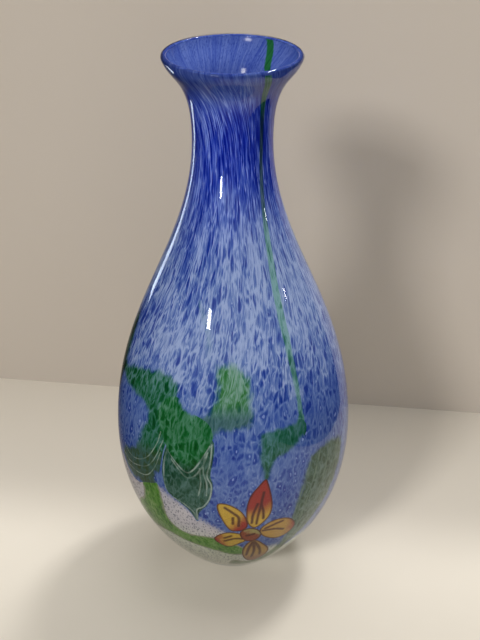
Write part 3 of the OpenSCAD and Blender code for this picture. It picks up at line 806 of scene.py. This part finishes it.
def skirt():
    """The white frit round the foot: one closed band, with its crest on the left."""
    t = Tree("white_frit")
    flow = t.attribute("flow")
    specks = t.cells(flow, 0.62)
    cloud = t.noise(flow, 0.08, 3.0, 0.6)
    risen = t.step(t.sum(t.part(flow, "Z"), t.times(cloud, 12.0)), 36, 54)
    foot_white = t.mix(cloud, linear(198, 204, 184), linear(238, 238, 228))
    crest_white = t.mix(cloud, linear(182, 178, 190), linear(222, 214, 214))
    white = t.mix(risen, foot_white, crest_white)
    fine = t.noise(flow, 0.9, 3.0, 0.6)
    dark = t.sum(t.step(specks, 0.44, 0.22), t.step(fine, 0.56, 0.7))
    colour = t.mix(t.math("MULTIPLY", dark, 0.62, clamp=True), white, linear(62, 72, 92))
    blue, _ = frit_nodes(t)
    edge = t.sum(t.attribute("edge", "Fac"), t.times(t.less(fine, 0.5), 9.0))
    colour = t.mix(t.step(edge, 0.0, 7.0), blue, colour)
    material = t.surface(frit_shader(t, colour, cloud))
    turns = 360
    turn = -180 + 360 * np.arange(turns) / turns
    crest = soft(WHITE_CREST, 12)
    top = np.full(turns, SKIRT_Z)
    for i, a in enumerate(turn):
        near = crest[np.abs(crest[:, 0] - a) < 1.2]
        if len(near):
            top[i] = max(SKIRT_Z, near[:, 1].max())
    bottom = FRIT_FACE_FULL[0, 1] + 0.4
    rows = 64
    share = np.linspace(0, 1, rows)
    turn_grid, share_grid = np.meshgrid(turn, share)
    height = bottom + share_grid * (top[None, :] - bottom)
    outer_face = on_frit(turn_grid.ravel(), height.ravel(), 0.03)
    inner_face = on_frit(turn_grid.ravel(), height.ravel(), -ROOTED)
    count = rows * turns
    verts = np.vstack([outer_face, inner_face])
    faces = []
    for i in range(rows - 1):
        for j in range(turns):
            k = (j + 1) % turns
            a, b, c, d = i * turns + j, i * turns + k, (i + 1) * turns + k, (i + 1) * turns + j
            faces += [(a, b, c, d), (d + count, c + count, b + count, a + count)]
    for j in range(turns):
        k = (j + 1) % turns
        faces.append((k, j, j + count, k + count))
        e, f = (rows - 1) * turns + j, (rows - 1) * turns + k
        faces.append((e, f, f + count, e + count))
    piece = new_piece("skirt_glass", "white_frit_skirt", verts, faces, material, sharp=50)
    store(piece, "flow", twice(flow_of(turn_grid.ravel(), height.ravel())))
    store(piece, "zone", twice(zone_of(turn_grid.ravel(), height.ravel())))
    store(piece, "edge", twice((top[None, :] - height).ravel()))
    return piece


skirt()


def petal_material(name, inner, outer, tip_low, tip_high, along):
    """Painted petal: yellow running to red, a dark outline and dark veins."""
    t = Tree(name)
    place = t.attribute("spot")
    reach = t.add("ShaderNodeVectorMath", "Value", {"operation": "DOT_PRODUCT"}, i0=place, i1=(*along, 0.0))
    wobble = t.noise(t.attribute("flow"), 0.35, 3.0, 0.6)
    reach = t.sum(reach, t.times(t.less(wobble, 0.5), 7.0))
    colour = t.mix(t.step(reach, tip_low, tip_high), inner, outer)
    streak = t.noise(t.scaled(place, (1.0, 1.0, 0.2)), 1.6, 3.0, 0.6)
    colour = t.mix(t.step(streak, 0.35, 0.75, 0.0, 0.35), colour, linear(120, 60, 40))
    line = t.math("MINIMUM", t.attribute("edge", "Fac"), t.attribute("vein", "Fac"))
    line = t.sum(line, t.times(t.less(wobble, 0.5), 0.7))
    colour = t.mix(t.step(line, 1.35, 0.3, 0.0, 0.9), colour, linear(74, 24, 22))
    return t.surface(frit_shader(t, colour, streak))


YELLOW = linear(208, 172, 62)
RED = linear(156, 44, 38)
OCHRE = linear(192, 152, 76)
BROWN = linear(146, 84, 50)
# slot, height over the frit, inner and outer colour, where one gives way to the other and along which
# way from the petal's middle, then the painted veins
PETALS = {
    "petal_top": (
        "petal_glass", 0.16, YELLOW, RED, -10, 3, (-0.25, 0.97),
        [
            [(12.6, 56), (13.2, 64), (14.4, 72)],
            [(16, 60), (15.6, 66), (14.4, 72), (15.4, 80)],
            [(10, 57), (10.4, 64), (12.4, 72)],
        ],
    ),
    "petal_upper_left": (
        "petal_glass", 0.13, YELLOW, RED, 0, 8, (0.8, -0.6),
        [[(-4, 70), (0, 66), (3, 62), (3, 55)], [(0, 62), (0, 57)]],
    ),
    "petal_lower_left": (
        "petal_glass", 0.12, YELLOW, RED, 2, 9, (-0.95, -0.2),
        [[(6, 43), (1, 43.4), (-5, 41)], [(-1, 46), (-5, 44)]],
    ),
    "petal_bottom": (
        "ochre_glass", 0.12, OCHRE, BROWN, 2, 12, (0.2, -1.0),
        [
            [(12, 39), (10.5, 32), (10, 24)],
            [(12.6, 39), (14.5, 30), (15, 21)],
            [(13.4, 39), (18, 31), (21, 23)],
        ],
    ),
    "petal_right": (
        "petal_glass", 0.12, linear(196, 154, 66), RED, 3, 12, (1.0, 0.1),
        [[(17, 49), (24, 48.4), (30, 46)], [(18, 50.6), (24, 53), (28, 54)]],
    ),
}
for name, (slot, proud, *look, veins) in PETALS.items():
    inlay(name, EDGES[name], petal_material(name, *look), proud, gap=0.6, marks=[("vein", veins)])

inlay(
    "flower_heart", EDGES["flower_heart"],
    petal_material("flower_heart", linear(140, 70, 44), linear(160, 156, 96), 0, 4, (0.5, 0.8)),
    0.2, gap=0.5, marks=[("vein", [[(8, 46), (12, 47)]])],
)

# ---------------------------------------------------------------- stage, lights and camera
CREASE_LEFT, CREASE_RIGHT = Vector((-0.179, 0.214, 0)), Vector((0.180, 0.161, 0))
TABLE_LEFT, TABLE_RIGHT = -0.2, 0.26
crease = (CREASE_RIGHT - CREASE_LEFT).normalized()


def stage_piece(name, corners, material):
    mesh = bpy.data.meshes.new(name)
    mesh.from_pydata([tuple(c) for c in corners], [], [tuple(range(len(corners)))])
    mesh.materials.append(material)
    piece = bpy.data.objects.new(name, mesh)
    bpy.context.scene.collection.objects.link(piece)


def stage_material(name, near, far, scale, hidden_back=False):
    """Plain paper with painted shade: lighter to the back and darker towards the front, where less light
    falls. In reflections it ends where the table does at the sides, and it darkens towards the front.
    """
    t = Tree(name)
    place = t.add("ShaderNodeNewGeometry", "Position")
    x, y = t.part(place, "X"), t.part(place, "Y")
    depth = t.sum(y, t.times(t.noise(place, scale), 0.04))
    # painted shade: the paper runs from the darker near colour at the front to the far colour at the back
    pale = t.add("ShaderNodeBsdfDiffuse", 0, None, Color=t.mix(t.step(depth, -0.3, 0.12), near, far))
    past_right = t.step(x, TABLE_RIGHT - 0.004, TABLE_RIGHT + 0.004)
    reflected_dark = t.math("MAXIMUM", past_right, t.step(x, TABLE_LEFT + 0.2, TABLE_LEFT))
    reflected_dark = t.math("MAXIMUM", reflected_dark, t.step(y, -0.08, -0.4, 0.0, 0.85))
    mirrored = t.times(reflected_dark, t.add("ShaderNodeLightPath", "Is Glossy Ray"))
    dark = t.add("ShaderNodeBsdfDiffuse", 0, None, Color=linear(44, 38, 34))
    shader = t.add("ShaderNodeMixShader", 0, None, i0=mirrored, i1=pale, i2=dark)
    if hidden_back:
        back = t.add("ShaderNodeNewGeometry", "Backfacing")
        clear = t.add("ShaderNodeBsdfTransparent")
        shader = t.add("ShaderNodeMixShader", 0, None, i0=back, i1=shader, i2=clear)
    return t.surface(shader)


FLOOR = 3.0
# the floor's near colour is darker: painted shade towards the front
stage_piece(
    "floor", [(-FLOOR, -FLOOR, 0), (FLOOR, -FLOOR, 0), (FLOOR, FLOOR, 0), (-FLOOR, FLOOR, 0)],
    stage_material("pale_floor", linear(192, 185, 172), linear(228, 221, 208), 18.0),
)
BACKDROP_MORE, BACKDROP_HIGH = 0.5, 0.35
left, right = CREASE_LEFT - crease * BACKDROP_MORE, CREASE_RIGHT + crease * BACKDROP_MORE
up = Vector((0, 0, BACKDROP_HIGH))
stage_piece(
    "backdrop", [left, right, right + up, left + up],
    stage_material("pale_backdrop", linear(200, 191, 180), linear(202, 193, 182), 9.0, hidden_back=True),
)

world = bpy.data.worlds.new("room")
bpy.context.scene.world = world
world.use_nodes = True
wt = world.node_tree
wt.nodes.clear()
path = wt.nodes.new("ShaderNodeLightPath")
room_mix = wt.nodes.new("ShaderNodeMixShader")
glossy_room, open_room = wt.nodes.new("ShaderNodeBackground"), wt.nodes.new("ShaderNodeBackground")
glossy_room.inputs[0].default_value, glossy_room.inputs[1].default_value = (0.16, 0.12, 0.1, 1), 0.35
open_room.inputs[0].default_value, open_room.inputs[1].default_value = (0.95, 0.94, 0.93, 1), 0.24
wt.links.new(path.outputs["Is Glossy Ray"], room_mix.inputs[0])
wt.links.new(open_room.outputs[0], room_mix.inputs[1])
wt.links.new(glossy_room.outputs[0], room_mix.inputs[2])
world_out = wt.nodes.new("ShaderNodeOutputWorld")
wt.links.new(room_mix.outputs[0], world_out.inputs[0])


def area_light(name, at, look_at, size, watts, colour, diffuse=True, glossy=True):
    data = bpy.data.lights.new(name, "AREA")
    data.shape = "RECTANGLE"
    data.size, data.size_y = size
    data.energy = watts
    data.color = colour
    lamp = bpy.data.objects.new(name, data)
    bpy.context.scene.collection.objects.link(lamp)
    lamp.location = at
    lamp.rotation_mode = "QUATERNION"
    lamp.rotation_quaternion = (Vector(look_at) - Vector(at)).to_track_quat("-Z", "Y")
    lamp.visible_camera = False
    lamp.visible_diffuse = diffuse
    lamp.visible_glossy = glossy


def bearing(azimuth, elevation, distance, centre=(0, 0, 0.16)):
    """A place seen from the vase in degrees round from the front and degrees up."""
    a, e = math.radians(azimuth), math.radians(elevation)
    way = Vector((math.sin(a) * math.cos(e), -math.cos(a) * math.cos(e), math.sin(e)))
    return Vector(centre) + distance * way


WARM = (1.0, 0.975, 0.94)
NEUTRAL = (1.0, 0.99, 0.975)
area_light("key", bearing(-30.7, 36.6, 2.0), (0, 0, 0.15), (0.34, 0.34), 17, WARM)
area_light("overhead", (0.1, 0.45, 1.9), (0, 0, 0.1), (1.4, 1.0), 12, NEUTRAL, glossy=False)
area_light("back_right", bearing(141, 58, 1.8), (0, 0, 0.1), (0.26, 0.26), 14, NEUTRAL)
area_light("right_fill", bearing(60, 16, 1.5), (0, 0, 0.15), (0.9, 0.7), 4, NEUTRAL, glossy=False)
area_light("front_fill", bearing(8, 10, 1.4), (0, 0, 0.2), (0.7, 0.6), 1.6, NEUTRAL, glossy=False)
# seen only as reflections in the glass: a window far to the left, and two small lamps
WHITE, SKY = (1, 1, 1), (0.8, 0.92, 1.0)
BELLY_TOP, NECK_FOOT = (0, 0, 0.17), (0, 0, 0.22)
window_at = bearing(-131, 1, 0.25, BELLY_TOP)
area_light("left_window", window_at, BELLY_TOP, (0.04, 0.08), 0.036, SKY, diffuse=False)
area_light("lamp_left", (-0.098, -0.185, 0.234), NECK_FOOT, (0.014, 0.018), 0.032, WHITE, diffuse=False)
area_light("lamp_right", (0.294, -0.078, 0.239), NECK_FOOT, (0.01, 0.008), 0.006, WHITE, diffuse=False)

camera_data = bpy.data.cameras.new("camera")
camera_data.lens, camera_data.sensor_width = 85.42, 36.0
camera = bpy.data.objects.new("camera", camera_data)
bpy.context.scene.collection.objects.link(camera)
camera.location = (0.004147, -0.8, 0.56158)
camera.rotation_euler = (math.radians(90 - 26.788), 0, 0)
bpy.context.scene.camera = camera
bpy.context.scene.view_settings.view_transform = "Standard"
